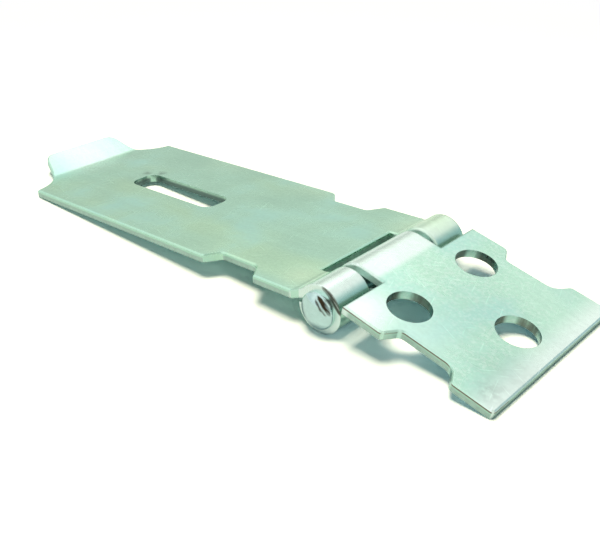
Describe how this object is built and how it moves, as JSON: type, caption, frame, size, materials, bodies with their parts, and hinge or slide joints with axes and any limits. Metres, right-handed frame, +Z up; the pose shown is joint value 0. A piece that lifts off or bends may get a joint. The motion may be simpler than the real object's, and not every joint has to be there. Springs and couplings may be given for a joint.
{
  "type": "safety hasp",
  "caption": "Zinc-plated pressed-steel safety hasp: a slotted leaf with a turned-up lift tab, hinged on a headed pin to a short drilled fixing leaf.",
  "frame": {"origin": "on the table, midway along the part's length and midway between the pin's two ends", "axes": "+X along the leaves towards the fixing leaf's free edge, +Y along the hinge pin away from its low domed head, +Z up"},
  "size_m": [0.1183, 0.037, 0.0084],
  "materials": {
    "fixing_zinc": "bright zinc plating with fine handling scratches",
    "slotted_zinc": "bright zinc plating with a faint green and straw passivate tint",
    "pin_zinc": "bright zinc plating on a formed pin"
  },
  "bodies": {
    "fixing": {"fixing_leaf": "fixing_zinc"},
    "swing": {"slotted_leaf": "slotted_zinc", "hinge_pin": "pin_zinc"}
  },
  "joints": [
    {"name": "leaf_hinge", "type": "hinge", "parent": "fixing", "child": "swing", "pos_m": [0.02782, 0, 0.0042], "axis": [0, 1, 0], "range_deg": [-163.98, 106.02]}
  ]
}
